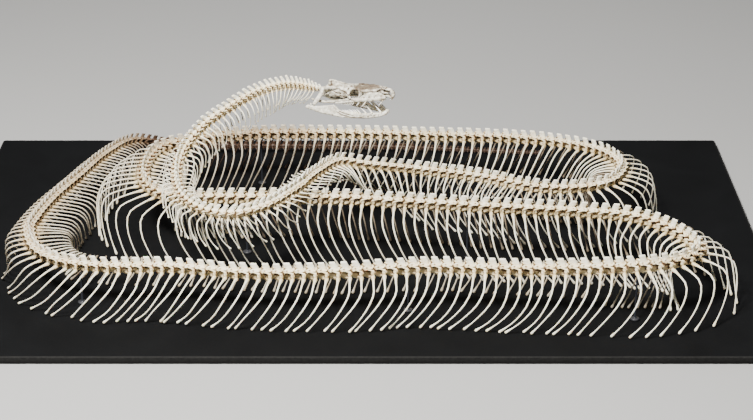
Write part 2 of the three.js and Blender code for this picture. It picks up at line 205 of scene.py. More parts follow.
HANG = unit((1 - SQUARE)[:, None] * np.array((0, 0, 1)) + SQUARE[:, None] * RISE)


def turns():
    """Turn per millimetre at each station, positive towards its +side."""
    heading = np.unwrap(np.arctan2(BACK[:, 1], BACK[:, 0]))
    local = np.zeros(COUNT)
    local[1:-1] = (heading[:-2] - heading[2:]) / (AT[2:] - AT[:-2])
    turn = np.zeros(COUNT)
    for k in range(COUNT):
        turn[k] = local[max(k - 2, 1):min(k + 3, COUNT - 1)].mean()
    return turn


TURN = turns()


def rib_numbers(index, sign):
    """Drop, spread, bulge and sweep of one rib, in millimetres."""
    clearance = CENTRE[index][2] - SHIFT[2] - TIP_CLEARANCE
    drop = clearance
    if index < RESTING_FROM:
        drop = min(look_up(RIB_DROP, index), clearance)
    inward = TURN[index] * sign
    tightest = max(TURN[np.clip(np.arange(index - 6, index + 7), 1, COUNT - 2)] * sign)
    room = INNER_SHARE / tightest if tightest > 0 else math.inf
    shift = max(min(inward * OUTER_PULL, 0), -MOST_PULL) + sign * look_up(RIB_LEAN, index)
    seed = 2 * index + (sign + 1) / 2
    loose = 0.2 if inward > TIGHT_TURN else 1
    spread = look_up(RIB_SPREAD, index) + shift + 2.5 * loose * scatter(seed)
    spread = min(spread, room)
    sweep = look_up(LEFT_SWEEP if sign > 0 else RIGHT_SWEEP, index)
    sweep *= 1 + 0.12 * loose * scatter(seed + 900)
    bulge = min(max(spread, 0.42 * drop + 8 * min(1, drop / FULL_DROP)), room)
    return drop, spread, bulge, sweep


# ---------------------------------------------------------------- sculpting with distances
AXES = np.eye(3, dtype=int)


def smooth_min(a, b, soft):
    h = np.clip(0.5 + 0.5 * (b - a) / soft, 0, 1)
    return b * (1 - h) + a * h - soft * h * (1 - h)


class Sculpt:
    """A distance field on a grid: shapes are joined or carved softly, then skinned.

    While side is -1, shapes are drawn mirrored in y.
    """

    def __init__(self, low, high, step):
        self.side = 1
        self.low = np.array(low, float)
        self.step = step
        self.size = np.ceil((np.array(high, float) - self.low) / step).astype(int) + 1
        self.field = np.full(self.size, 10 * step + np.ptp([low, high], axis=0).max())

    def place(self, point):
        return np.array(point, float) * (1, self.side, 1)

    def turn(self, tilt):
        return rotation(tilt[0], tilt[1] * self.side) if tilt else np.eye(3)

    def apply(self, low, high, distance, soft, carve):
        """Join the shape to the field, or carve it out, on the grid points around it."""
        margin = soft + 3 * self.step
        first = np.floor((low - margin - self.low) / self.step).astype(int)
        last = np.ceil((high + margin - self.low) / self.step).astype(int) + 1
        first, last = np.clip(first, 0, self.size), np.clip(last, 0, self.size)
        axes = [self.low[k] + self.step * np.arange(first[k], last[k]) for k in range(3)]
        cut = tuple(slice(first[k], last[k]) for k in range(3))
        d = distance(np.stack(np.meshgrid(*axes, indexing="ij"), -1))
        if carve:
            self.field[cut] = -smooth_min(-self.field[cut], d, soft)
        else:
            self.field[cut] = smooth_min(self.field[cut], d, soft)

    def bar(self, a, b, ra, rb, soft, carve=False, flat=None):
        """Tapered round bar; flat squashes it, as (axis, factor)."""
        a, b = self.place(a), self.place(b)
        squash = np.ones(3)
        if flat:
            squash[flat[0]] = flat[1]

        def distance(at):
            p, q = (at - a) * squash, (b - a) * squash
            t = np.clip((p @ q) / (q @ q), 0, 1)
            gap = np.linalg.norm(p - t[..., None] * q, axis=-1)
            return (gap - (ra + (rb - ra) * t)) / squash.max()

        reach = max(ra, rb)
        self.apply(np.minimum(a, b) - reach, np.maximum(a, b) + reach, distance, soft, carve)

    def blob(self, centre, radii, soft, carve=False, tilt=None):
        """Ellipsoid; tilt is (axis, degrees)."""
        centre, radii, turn = self.place(centre), np.array(radii, float), self.turn(tilt)

        def distance(at):
            p = (at - centre) @ turn
            k0 = np.linalg.norm(p / radii, axis=-1)
            k1 = np.maximum(np.linalg.norm(p / radii**2, axis=-1), 1e-9)
            return k0 * (k0 - 1) / k1

        reach = radii.max() if tilt else radii
        self.apply(centre - reach, centre + reach, distance, soft, carve)

    def block(self, centre, half, edge, soft, carve=False, tilt=None):
        """Box with rounded edges; tilt is (axis, degrees)."""
        centre, half, turn = self.place(centre), np.array(half, float), self.turn(tilt)

        def distance(at):
            q = np.abs((at - centre) @ turn) - (half - edge)
            outside = np.linalg.norm(np.maximum(q, 0), axis=-1)
            return outside + np.minimum(q.max(-1), 0) - edge

        reach = np.linalg.norm(half) if tilt else half
        self.apply(centre - reach, centre + reach, distance, soft, carve)

    def chain(self, points, radii, soft, carve=False, flat=None):
        for k in range(len(points) - 1):
            self.bar(points[k], points[k + 1], radii[k], radii[k + 1], soft, carve, flat)

    def groove(self, points, radius, soft):
        self.chain(points, [radius] * len(points), soft, carve=True)

    def pits(self, *places):
        """Small nerve openings in the outer face of a jaw bone."""
        for x, y, z in places:
            self.bar((x, y + 1.5, z), (x, y - 1.2, z), 0.75, 0.6, 0.2, carve=True)

    def sample(self, values, at):
        """Grid values at free points, from the nearest eight."""
        g = np.clip((at - self.low) / self.step, 0, self.size - 1.001)
        i = g.astype(int)
        f = g - i
        total = 0
        for corner in np.ndindex(2, 2, 2):
            c = np.array(corner)
            weight = np.prod(np.where(c, f, 1 - f), axis=-1)
            total = total + weight * values[tuple((i + c).T)]
        return total

    def skin(self):
        """Vertices and quads of the surface where the field is zero."""
        field, inside = self.field, self.field < 0
        cells = np.zeros(self.size - 1, int)
        for c in np.ndindex(2, 2, 2):
            cells += inside[tuple(slice(c[k], self.size[k] - 1 + c[k]) for k in range(3))]
        active = np.argwhere((cells > 0) & (cells < 8))
        numbers = np.full(self.size - 1, -1)
        numbers[tuple(active.T)] = np.arange(len(active))
        total, count = np.zeros((len(active), 3)), np.zeros(len(active))
        for a in np.ndindex(2, 2, 2):
            for axis in range(3):
                if a[axis]:
                    continue
                fa, fb = field[tuple((active + a).T)], field[tuple((active + a + AXES[axis]).T)]
                crossed = (fa < 0) != (fb < 0)
                t = np.where(crossed, fa / np.where(crossed, fa - fb, 1), 0)
                total += (a + t[:, None] * AXES[axis]) * crossed[:, None]
                count += crossed
        vertices = self.low + self.step * (active + total / count[:, None])
        quads = []
        for axis in range(3):
            ends = [tuple(end if k == axis else slice(1, -1) for k in range(3))
                    for end in (slice(0, -1), slice(1, None))]
            at = np.argwhere(inside[ends[0]] != inside[ends[1]]) + 1 - AXES[axis]
            u, v = AXES[(axis + 1) % 3], AXES[(axis + 2) % 3]
            quad = np.stack([numbers[tuple(p.T)] for p in (at, at - u, at - u - v, at - v)], -1)
            turned = ~inside[tuple(at.T)]
            quad[turned] = quad[turned][:, ::-1]
            quads.append(quad)
        return vertices, np.concatenate(quads)

    def hollowness(self, vertices, normals, reach):
        """Share of solid in a box off the surface: 0.1 on a flat face, more in a recess."""
        solid = (self.field < 0).astype(np.float32)
        wide = max(1, round(reach / self.step))
        for axis in range(3):
            rim = [(wide + 1, wide) if k == axis else (0, 0) for k in range(3)]
            heap = np.cumsum(np.pad(solid, rim), axis=axis)
            ends = [heap.take(range(first, first + self.size[axis]), axis=axis)
                    for first in (2 * wide + 1, 0)]
            solid = (ends[0] - ends[1]) / (2 * wide + 1)
        return self.sample(solid, vertices + 0.8 * reach * normals)


def rotation(axis, degrees):
    c, s = math.cos(math.radians(degrees)), math.sin(math.radians(degrees))
    u, v = (axis + 1) % 3, (axis + 2) % 3
    turn = np.eye(3)
    turn[u, u], turn[u, v], turn[v, u], turn[v, v] = c, -s, s, c
    return turn


def add_object(name, data):
    item = bpy.data.objects.new(name, data)
    bpy.context.scene.collection.objects.link(item)
    return item


def new_mesh(name, vertices, faces, attributes=None):
    """Smooth mesh object in metres from millimetre points; attributes are {name: values}."""
    mesh = bpy.data.meshes.new(name)
    mesh.from_pydata(vertices * MM, [], faces, shade_flat=False)
    for key, values in (attributes or {}).items():
        made = mesh.attributes.new(key, "FLOAT", "POINT")
        made.data.foreach_set("value", np.asarray(values, np.float32))
    return add_object(name, mesh)


def point_normals(vertices, faces):
    """Mean direction of the faces around each vertex."""
    a, b, c = (vertices[faces[:, k]] for k in range(3))
    flat = np.cross(b - a, c - a)
    normals = np.zeros_like(vertices)
    for k in range(faces.shape[1]):
        np.add.at(normals, faces[:, k], flat)
    return normals / np.maximum(np.linalg.norm(normals, axis=1), 1e-12)[:, None]


def thinned(vertices, quads, wanted):
    """Triangles of the same surface, collapsed to about the wanted number."""
    item = new_mesh("template", vertices / MM, quads)
    modifier = item.modifiers.new("thin", "DECIMATE")
    modifier.ratio = min(1, wanted / (2 * len(quads)))
    evaluated = item.evaluated_get(bpy.context.evaluated_depsgraph_get())
    mesh = evaluated.to_mesh()
    mesh.calc_loop_triangles()
    points = np.array([vertex.co for vertex in mesh.vertices])
    triangles = np.array([triangle.vertices for triangle in mesh.loop_triangles])
    evaluated.to_mesh_clear()
    bpy.data.objects.remove(item)
    return points, triangles


# ---------------------------------------------------------------- vertebrae, in millimetres
def spine_plate(s, low, high, base, top, thick, soft):
    """Neural spine from height low to high; base and top are (middle, half length)."""
    steps = 8
    for step in range(steps):
        part = step / (steps - 1)
        bow = part + 0.35 * part * (part - 1)
        middle = base[0] + (top[0] - base[0]) * bow
        half = base[1] + (top[1] - base[1]) * part
        crown = 1.3 if part > 0.8 else 1
        height = (high - low) / (steps - 1)
        s.block((middle, 0, low + (high - low - height / 2) * part), (half, thick * crown, height),
                min(thick, height) * 0.7, soft)


def trunk_vertebra():
    """x to the tail, y to the side, z up; z 0 is the line of the route."""
    s = Sculpt((-6, -15, -14), (24, 15, 16), 0.45)
    s.bar((2.5, 0, -5.6), (15.5, 0, -5.4), 4.6, 3.3, 1)
    s.blob((1.4, 0, -5.3), (1.9, 4.9, 4.1), 1)
    s.blob((17.1, 0, -4.8), (2.7, 3.4, 3), 0.4)
    s.blob((8.6, 0, 1.2), (8.2, 5.8, 3.2), 1)
    for s.side in (-1, 1):
        s.blob((1.8, 7.8, 0), (3.5, 3.6, 1.15), 0.9, tilt=(0, 8))
        s.bar((1.6, 9, -0.6), (0.1, 12.8, -1.4), 1.3, 0.6, 0.6)
        s.blob((15.6, 7.6, 3), (3.9, 3.9, 1.25), 0.9, tilt=(0, 8))
        s.chain([(1.4, 9.6, -0.9), (5, 7.9, 0.4), (10.5, 6.9, 1.9), (16.4, 9.6, 3.4)],
                [1.35, 1.2, 1.15, 1.3], 0.7)
        s.chain([(8.8, 1, 4.1), (14, 3.8, 4.6), (17.6, 6.8, 4.2)], [1.5, 1.35, 1.1], 0.8)
        s.chain([(2.5, 5, -7.6), (9, 3.7, -8.2), (14.5, 2.4, -7)], [1.3, 1, 0.9], 0.7)
        s.blob((3.2, 7.7, -3.6), (3.3, 2.6, 3.4), 0.8)
        s.blob((3.4, 6.3, -7.2), (2.3, 2.3, 2.4), 0.7)
        s.blob((9.2, 7.8, -2.2), (2.5, 2.3, 1.6), 0.5, carve=True)
        s.blob((12.6, 7.6, -0.4), (2.6, 2.2, 1.4), 0.5, carve=True)
        s.blob((4.6, 4.8, 3.7), (2.2, 1.5, 1.1), 0.7, carve=True)
        s.bar((7.4, 9, -5.4), (7.4, 3, -5.4), 0.55, 0.55, 0.3, carve=True)
    s.block((1.2, 0, 3.5), (1.9, 3.9, 0.95), 0.5, 0.6)
    s.chain([(2.5, 0, -9.9), (9.5, 0, -10.9), (15.2, 0, -9.1)], [1, 0.95, 0.9], 0.9)
    spine_plate(s, 4.2, 14, (8.8, 5), (12, 4.7), 1.15, 0.5)
    s.block((18.6, 0, 3.4), (2.4, 3.7, 1), 0.7, 0.4, carve=True)
    s.bar((-9, 0, 0.1), (27, 0, 0.1), 1.6, 1.6, 0.4, carve=True)
    s.blob((-1.2, 0, -5.1), (2.6, 3.7, 3.3), 0.4, carve=True)
    return s


def neck_vertebra():
    """Narrower, with a keel that points down and back."""
    s = Sculpt((-4, -11, -14), (14, 11, 16), 0.36)
    s.bar((1.4, 0, -4.4), (8.4, 0, -4.4), 3.3, 2.5, 0.8)
    s.blob((0.8, 0, -4.2), (1.2, 3.4, 3), 0.7)
    s.blob((9.4, 0, -3.9), (1.6, 2.4, 2.2), 0.3)
    s.blob((4.8, 0, 2.4), (4.6, 4.2, 3.5), 0.8)
    s.blob((4.7, 0, -1.6), (4.3, 4.5, 3.4), 0.8)
    for s.side in (-1, 1):
        s.blob((1, 5.2, 0.2), (2.1, 2.5, 0.95), 0.6, tilt=(0, 8))
        s.bar((0.8, 6, -0.3), (0.2, 8, -0.9), 0.85, 0.45, 0.4)
        s.blob((8.5, 5, 2.6), (2.3, 2.6, 1), 0.6, tilt=(0, 8))
        s.chain([(0.9, 6.2, -0.5), (3.2, 5.3, 0.4), (6, 5, 1.5), (9, 6.2, 2.9)],
                [0.95, 0.9, 0.9, 0.9], 0.6)
        s.chain([(4.8, 0.8, 5.2), (7.6, 2.5, 4.9), (9.3, 4.2, 3.9)], [1.2, 1.05, 0.85], 0.7)
        s.blob((1.6, 5, -3.6), (1.7, 1.7, 2.3), 0.6)
        s.blob((2, 4.3, -6.4), (1.5, 1.5, 1.6), 0.5)
        s.blob((6.4, 5.6, -3.4), (1.9, 2.1, 1.8), 0.4, carve=True)
    s.block((0.7, 0, 4.1), (1.1, 2.6, 0.75), 0.4, 0.4)
    s.chain([(4, 0, -6.4), (6.5, 0, -8.8), (8.7, 0, -10.8)], [1.4, 1.05, 0.6], 0.8)
    spine_plate(s, 4.8, 14, (5.2, 3.4), (9.6, 2.3), 0.95, 0.5)
    s.block((10.1, 0, 3.6), (1.3, 2.3, 0.8), 0.5, 0.3, carve=True)
    s.bar((-5, 0, 0.2), (16, 0, 0.2), 1.2, 1.2, 0.3, carve=True)
    s.blob((-0.9, 0, -4.1), (1.7, 2.5, 2.2), 0.3, carve=True)
    return s


def tail_vertebra():
    """Small, with side processes in place of ribs."""
    s = Sculpt((-4, -10, -9), (14, 10, 11), 0.42)
    s.bar((1.3, 0, -2.6), (8.6, 0, -2.6), 2.7, 2.1, 0.6)
    s.blob((9.4, 0, -2.4), (1.5, 2.1, 1.9), 0.3)
    s.blob((4.7, 0, 1.2), (4.5, 3.3, 2.6), 0.6)
    for s.side in (-1, 1):
        s.blob((1, 3.7, 0.8), (1.9, 1.9, 0.8), 0.5)
        s.blob((8.5, 3.3, 1.9), (2, 2, 0.8), 0.5)
        s.chain([(3, 2.4, -1.6), (4, 5.6, -2.9), (4.8, 8.2, -4.8)], [1.4, 1, 0.55], 0.5)
        s.bar((6.4, 1.2, -4.2), (8, 1.5, -7), 0.8, 0.45, 0.4)
    spine_plate(s, 3.2, 9.4, (5, 2.8), (6.6, 2.7), 0.75, 0.4)
    s.blob((-0.7, 0, -2.4), (1.5, 2, 1.8), 0.3, carve=True)
    return s


def template(make, wanted, reach, size):
    """Points, triangles and wear with painted recess shade of a kind of vertebra, with the size it
    is sculpted in.
    """
    sculpt = make()
    vertices, triangles = thinned(*sculpt.skin(), wanted)
    hollow = sculpt.hollowness(vertices, point_normals(vertices, triangles), reach)
    return vertices, triangles, vertebra_stain_and_shade(vertices, hollow, size), size


def vertebra_stain_and_shade(vertices, hollow, size):
    """Stain of a template point: clean crest, cream arch, tan low down, and painted shade with
    brown stain in the recesses.
    """
    length, _, spine, keel = size
    high = vertices[:, 2]
    arch = 0.30 * np.clip((0.46 * spine - high) / (0.2 * spine), 0, 1)
    low = 0.18 * np.clip((-0.15 * keel - high) / (0.4 * keel), 0, 1)
    ends = np.clip(np.abs(vertices[:, 0] / length - 0.5) * 9 - 3.3, 0, 1)
    joint = 0.75 * ends * np.exp(-((high - 0.15 * spine) / (0.26 * spine)) ** 2)
    # Painted shade, with some brown stain, where much solid lies around the surface.
    recess = 1.05 * np.clip((hollow - 0.2) / 0.26, 0, 1)
    return np.clip(arch + low + joint + recess, 0, 1)


# Triangles, reach of the recesses, and the length, half width, spine height and keel depth.
TEMPLATES = {
    "neck": template(neck_vertebra, 1500, 2.2, (9.5, 8.4, 14, 11.4)),
    "trunk": template(trunk_vertebra, 1900, 3.2, (FULL_LENGTH, 13.4, 14, 12)),
    "tail": template(tail_vertebra, 900, 2.2, (9.4, 8.6, 9.4, 7.5)),
}


def join(parts):
    """Vertices, faces and attributes of many parts as one."""
    vertices, faces, values, base = [], [], {}, 0
    for points, sides, extra in parts:
        vertices.append(points)
        faces.append(sides + base)
        base += len(points)
        for key, value in extra.items():
            values.setdefault(key, []).append(value)
    return (np.concatenate(vertices), np.concatenate(faces),
            {key: np.concatenate(value) for key, value in values.items()})


def tagged(stain_and_shade, age_and_shade, seed):
    return {"stain_and_shade": stain_and_shade, "age_and_shade": np.full(len(stain_and_shade), age_and_shade), "seed": np.full(len(stain_and_shade), seed)}


def place_vertebra(index):
    """One vertebra in place, its crest a little out of line with the next."""
    kind = "neck" if index < NECK_VERTEBRAE else "tail" if index > LAST_RIB else "trunk"
    vertices, triangles, wear_and_shade, (length, half, spine, keel) = TEMPLATES[kind]
    local = vertices.copy()
    crown = np.clip((local[:, 2] - 0.45 * spine) / (0.5 * spine), 0, 1)
    local[:, 0] += 0.045 * length * scatter(index + 51) * crown
    local[:, 1] += 0.04 * half * scatter(index + 77) * crown
    local[:, 2] *= 1 + 0.05 * scatter(index + 93) * crown
    local[:, 0] *= LENGTH[index] / length
    local[:, 1] *= HALF[index] / half
    local[:, 2] *= np.where(local[:, 2] > 0, SPINE[index] / spine, KEEL[index] / keel)
    points = CENTRE[index] + local @ np.stack([BACK[index], SIDE[index], RISE[index]])
    return points, triangles[:, ::-1], tagged(wear_and_shade, look_up(AGE_AND_SHADE, index), scatter(index + 11))


# ---------------------------------------------------------------- ribs
TUBE_SIDES = 8
# Half widths of a rib at these shares of its length.
RIB_SHARE = np.array([0, 0.012, 0.035, 0.07, 0.11, 0.16, 0.22, 0.29, 0.37, 0.45, 0.54, 0.63,
                      0.72, 0.81, 0.88, 0.93, 0.965, 0.985, 1])
RIB_THICK = np.array([1.8, 3.3, 3.5, 2.7, 2, 1.65, 1.5, 1.4, 1.35, 1.3, 1.27, 1.23,
                      1.15, 1.08, 1.1, 1.4, 2, 2.35, 1.7])
RIB_TALL = np.array([1.8, 3.2, 3.2, 2.3, 1.7, 1.4, 1.28, 1.2, 1.15, 1.12, 1.1, 1.06,
                     1, 0.95, 1, 1.3, 1.9, 2.2, 1.6])
# Share of the sweep reached at the six key points of a rib.
EVEN_SLANT = np.array((0, 0.06, 0.15, 0.38, 0.70, 1))
LOW_SLANT = np.array((0, -0.03, -0.05, 0.07, 0.44, 1))
# Rows of ribs on the far side, darkened as painted shade with some brown stain: side, first and
# last vertebra; and how much.
FAR_RIB_SHADE_AND_STAIN = 0.62
SHADED_AND_STAINED_RIB_ROWS = [(1, 228, 284), (-1, 181, 222), (-1, 70, 106), (1, 112, 157)]


def tube_faces(rings, sides):
    """Triangles of a closed tube: its rings, then a middle point for each end."""
    faces = []
    for ring in range(rings - 1):
        for k in range(sides):
            a, b = ring * sides + k, ring * sides + (k + 1) % sides
            faces += [(a, b, b + sides), (a, b + sides, a + sides)]
    first, last, end = rings * sides, rings * sides + 1, (rings - 1) * sides
    for k in range(sides):
        m = (k + 1) % sides
        faces += [(first, m, k), (last, end + k, end + m)]
    return np.array(faces)


def capped(rings, wear_and_shade, ends=None, end_wear=(0, 0)):
    """Closed skin over rings of equal count; its ends are points, or else the rings' middles."""
    count, sides = rings.shape[:2]
    ends = rings[[0, -1]].mean(1) if ends is None else ends
    points = np.concatenate([rings.reshape(-1, 3), ends])
    return points, tube_faces(count, sides), {"stain_and_shade": np.append(np.repeat(wear_and_shade, sides), end_wear)}


def oval_rings(line, first, second, thick, tall):
    """Rings on a line, with half widths thick towards first and tall towards second."""
    angle = np.arange(TUBE_SIDES) * 2 * math.pi / TUBE_SIDES
    return (line[:, None] + thick[:, None, None] * np.cos(angle)[None, :, None] * first[:, None]
            + tall[:, None, None] * np.sin(angle)[None, :, None] * second[:, None])


def rib(index, sign):
    """One rib from its head at the vertebra to its tip; sign is 1 on the left."""
    drop, spread, bulge, sweep = rib_numbers(index, sign)
    size = LENGTH[index]
    small = min(1, drop / FULL_DROP)
    root, high = 0.60 * HALF[index], -0.60 * KEEL[index]
    curl = look_up(RIB_CURL, index)
    slant = (1 - curl) * EVEN_SLANT + curl * LOW_SLANT
    slant[3:5] += 0.07 * scatter(2 * index + sign + 300) * np.array((0.5, 1))
    path = route_line(np.array([
        (root, high, 0),
        (root + 0.40 * (bulge - root), 0.97 * high - 0.02 * drop, slant[1] * sweep),
        (0.90 * bulge, 0.45 * high - 0.16 * drop, slant[2] * sweep),
        (1.03 * bulge, -0.42 * drop, slant[3] * sweep),
        (0.52 * (bulge + spread), -0.71 * drop, slant[4] * sweep),
        (spread, -drop + 2.2 * small, sweep + 2.5 * small * scatter(2 * index + sign + 500)),
    ]), 12)
    running = running_length(path)
    across, high, along = points_along(path, running, RIB_SHARE * running[-1]).T
    flat_back = BACK[index] * (1, 1, 0.3)
    line = (CENTRE[index] + BACK[index] * 0.17 * size + sign * across[:, None] * SIDE[index]
            + high[:, None] * HANG[index] + along[:, None] * flat_back)
    forward = unit(np.gradient(line, axis=0))
    first = unit(BACK[index] - (forward @ BACK[index])[:, None] * forward)
    scale = (0.35 + 0.65 * size / FULL_LENGTH) * (0.72 + 0.28 * small)
    line[:, 2] = np.maximum(line[:, 2], SHIFT[2] + 0.2 + scale * RIB_THICK)
    rings = oval_rings(line, first, np.cross(forward, first), scale * RIB_THICK, scale * RIB_TALL)
    wear_and_shade = np.interp(RIB_SHARE, [0, 0.03, 0.1, 0.2, 0.95, 1], [0.62, 0.42, 0.24, 0.06, 0.02, 0.16])
    ends = [line[0] - 0.4 * forward[0], line[-1] + 0.5 * forward[-1]]
    points, faces, extra = capped(rings, wear_and_shade, ends, wear_and_shade[[0, -1]])
    # Far-side ribs in these rows get painted shade, with some brown stain, added to their age.
    shaded = FAR_RIB_SHADE_AND_STAIN * any(sign == side and low <= index <= high for side, low, high in SHADED_AND_STAINED_RIB_ROWS)
    seed = scatter(index * 2 + sign + 700)
    return points, faces, tagged(extra["stain_and_shade"], look_up(AGE_AND_SHADE, index) + shaded, seed)


# ---------------------------------------------------------------- materials
class Material:
    """A new material, with the nodes that feed its shader."""

    def __init__(self, name, shine):
        self.made = bpy.data.materials.new(name)
        self.made.use_nodes = True
        self.tree = self.made.node_tree
        self.shader = self.tree.nodes["Principled BSDF"].inputs
        self.shader["Specular IOR Level"].default_value = shine
        self.place = self.make("TexCoord").outputs["Object"]

    def make(self, kind, **values):
        node = self.tree.nodes.new("ShaderNode" + kind)
        for key, value in values.items():
            if hasattr(node, key):
                setattr(node, key, value)
            else:
                node.inputs[key].default_value = value
        return node

    def feed(self, socket, value):
        """Link a socket to another, or set it to a number or a colour."""
        if isinstance(value, bpy.types.NodeSocket):
            self.tree.links.new(value, socket)
        else:
            socket.default_value = (*value, 1) if isinstance(value, tuple) else value

    def attribute(self, key):
        return self.make("Attribute", attribute_name=key).outputs["Fac"]

    def noise(self, scale, detail=4, rough=0.55, distortion=0):
        node = self.make("TexNoise", Scale=scale, Detail=detail, Roughness=rough,
                         Distortion=distortion)
        self.feed(node.inputs["Vector"], self.place)
        return node.outputs["Fac"]

    def math(self, operation, a, b, clamp=False):
        node = self.make("Math", operation=operation, use_clamp=clamp)
        self.feed(node.inputs[0], a)
        self.feed(node.inputs[1], b)
        return node.outputs[0]

    def ramp(self, value, offset, slope, clamp=True):
        """(value + offset) * slope, kept between 0 and 1 if clamped."""
        return self.math("MULTIPLY", self.math("ADD", value, offset), slope, clamp)

    def mix(self, share, a, b):
        node = self.make("Mix", data_type="RGBA")
        for number, value in ((0, share), (6, a), (7, b)):
            self.feed(node.inputs[number], value)
        return node.outputs[2]

    def bump(self, height, strength, distance):
        node = self.make("Bump", Strength=strength, Distance=distance)
        self.feed(node.inputs["Height"], height)
        self.feed(self.shader["Normal"], node.outputs["Normal"])


def bone_material(name, clean, warm, brown, deep, mottle=0.85):
    """Bone that goes from clean to warm, brown and deep as its stain and age rise; both also carry
    painted shade.
    """
    m = Material(name, 0.45)
    mottled = m.noise(170, 5)
    age_and_shade = m.attribute("age_and_shade")
    patch = m.ramp(m.noise(38), -0.5, 0.5, False)
    # The stain read here holds painted shade in recesses and openings as well as stains.
    dirt_and_shade = m.attribute("stain_and_shade")
    for part in (patch, m.ramp(mottled, -0.5, mottle, False),
                 m.math("MULTIPLY", m.attribute("seed"), 0.05)):
        dirt_and_shade = m.math("ADD", dirt_and_shade, part)
    color = clean
    # Each layer is a share and the colour that it brings.
    for share, shade in (
            (m.ramp(dirt_and_shade, 0.02, 1.9), warm), (m.ramp(dirt_and_shade, -0.42, 2.4), brown),
            (m.ramp(dirt_and_shade, -0.74, 3.2), deep),
            (m.math("MULTIPLY", age_and_shade, m.ramp(mottled, 0.786, 0.7, False), True), brown),
            (m.ramp(m.math("ADD", age_and_shade, patch), -0.62, 2.2), deep)):
        color = m.mix(share, color, shade)
    m.feed(m.shader["Base Color"], color)
    m.feed(m.shader["Roughness"], m.ramp(mottled, 1.68, 0.25, False))
    m.shader["Subsurface Weight"].default_value = 0.08
    m.shader["Subsurface Radius"].default_value = (0.9, 0.55, 0.3)
    m.shader["Subsurface Scale"].default_value = 0.0015
    fine = m.math("MULTIPLY", m.noise(900, 3), 0.4)
    m.bump(m.math("ADD", m.math("MULTIPLY", mottled, 0.6), fine), 0.35, 0.0006)
    return m.made


def plain_material(name, color, rough, grain, scale, shine, worn):
    """Paint or metal with fine grain, a smear of dust, and rubbed edges where it is stained."""
    m = Material(name, shine)
    fine, smear = m.noise(scale, 6, 0.5), m.noise(9, 2, 0.5, 0.8)
    dusty = tuple(c * 3.2 + 0.002 for c in color)
    shade = m.mix(m.math("MULTIPLY", fine, smear), color, dusty)
    rubbed = m.math("MULTIPLY", m.attribute("stain_and_shade"), fine)
    m.feed(m.shader["Base Color"], m.mix(rubbed, shade, worn))
    m.feed(m.shader["Roughness"], m.ramp(fine, rough / (2 * grain) - 0.5, 2 * grain, False))
    m.bump(fine, 0.12, 0.0004)
    return m.made


BONE = bone_material(
    "bone", (0.91, 0.88, 0.73), (0.76, 0.61, 0.33), (0.17, 0.085, 0.03), (0.045, 0.021, 0.01))
SKULL_BONE = bone_material(
    "skull_bone", (0.89, 0.86, 0.74), (0.22, 0.18, 0.122), (0.11, 0.076, 0.046),
    (0.045, 0.022, 0.011), 1.35)
TOOTH = bone_material(
    "tooth", (0.92, 0.9, 0.84), (0.8, 0.7, 0.5), (0.45, 0.3, 0.15), (0.2, 0.1, 0.05))
BOARD = plain_material(
    "board", (0.0014, 0.0015, 0.0017), 0.8, 0.1, 260, 0.08, (0.03, 0.029, 0.027))
ROD = plain_material("rod", (0.012, 0.013, 0.016), 0.35, 0.08, 500, 0.3, (0.05, 0.048, 0.05))


def finish_piece(item, material, slot, *nodes):
    """Give a piece its material, its place on the body and the CAD nodes that it replaces."""
    item.data.materials.clear()
    item.data.materials.append(material)
    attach(item, "root")
    if nodes:
        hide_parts(*nodes)


for region, cuts in COLUMN_LENGTHS.items():
    for number, (first, last) in enumerate(zip(cuts[:-1], cuts[1:]), 1):
        node = f"{region}_{number:02d}"
        slot = "tail_bone" if region == "tail" else "bone"
        bones = join([place_vertebra(index) for index in range(first, min(last, COUNT - 1))])
        finish_piece(new_mesh(f"{node}_vertebrae", *bones), BONE, slot, node)
        for word, sign in (("left", 1), ("right", -1)):
            ribs = [rib(index, sign) for index in range(first, last)
                    if FIRST_RIB <= index <= LAST_RIB]
            if ribs:
                finish_piece(new_mesh(f"{node}_ribs_{word}", *join(ribs)), BONE, slot, node)

# ---------------------------------------------------------------- skull
# Sculpted in a frame of its own: x to the snout, y to the animal's left, z up, from the neck.
HEAD_TURN = math.radians(22)
SNOUT_RAISE = 0.3727
MIDLINE_SOFT = 2
SKULL_AGE = 0.12


def plate(s, rows, step, soft):
    """Upright wall; rows are {x: (lowest z, highest z, y, half thickness below, and above)}."""
    for x in np.arange(min(rows), max(rows) + 0.01, step):
        low, high, y, below, above = look_up(rows, x)
        s.bar((x, y, low + below), (x, y, high - above), below, above, soft)


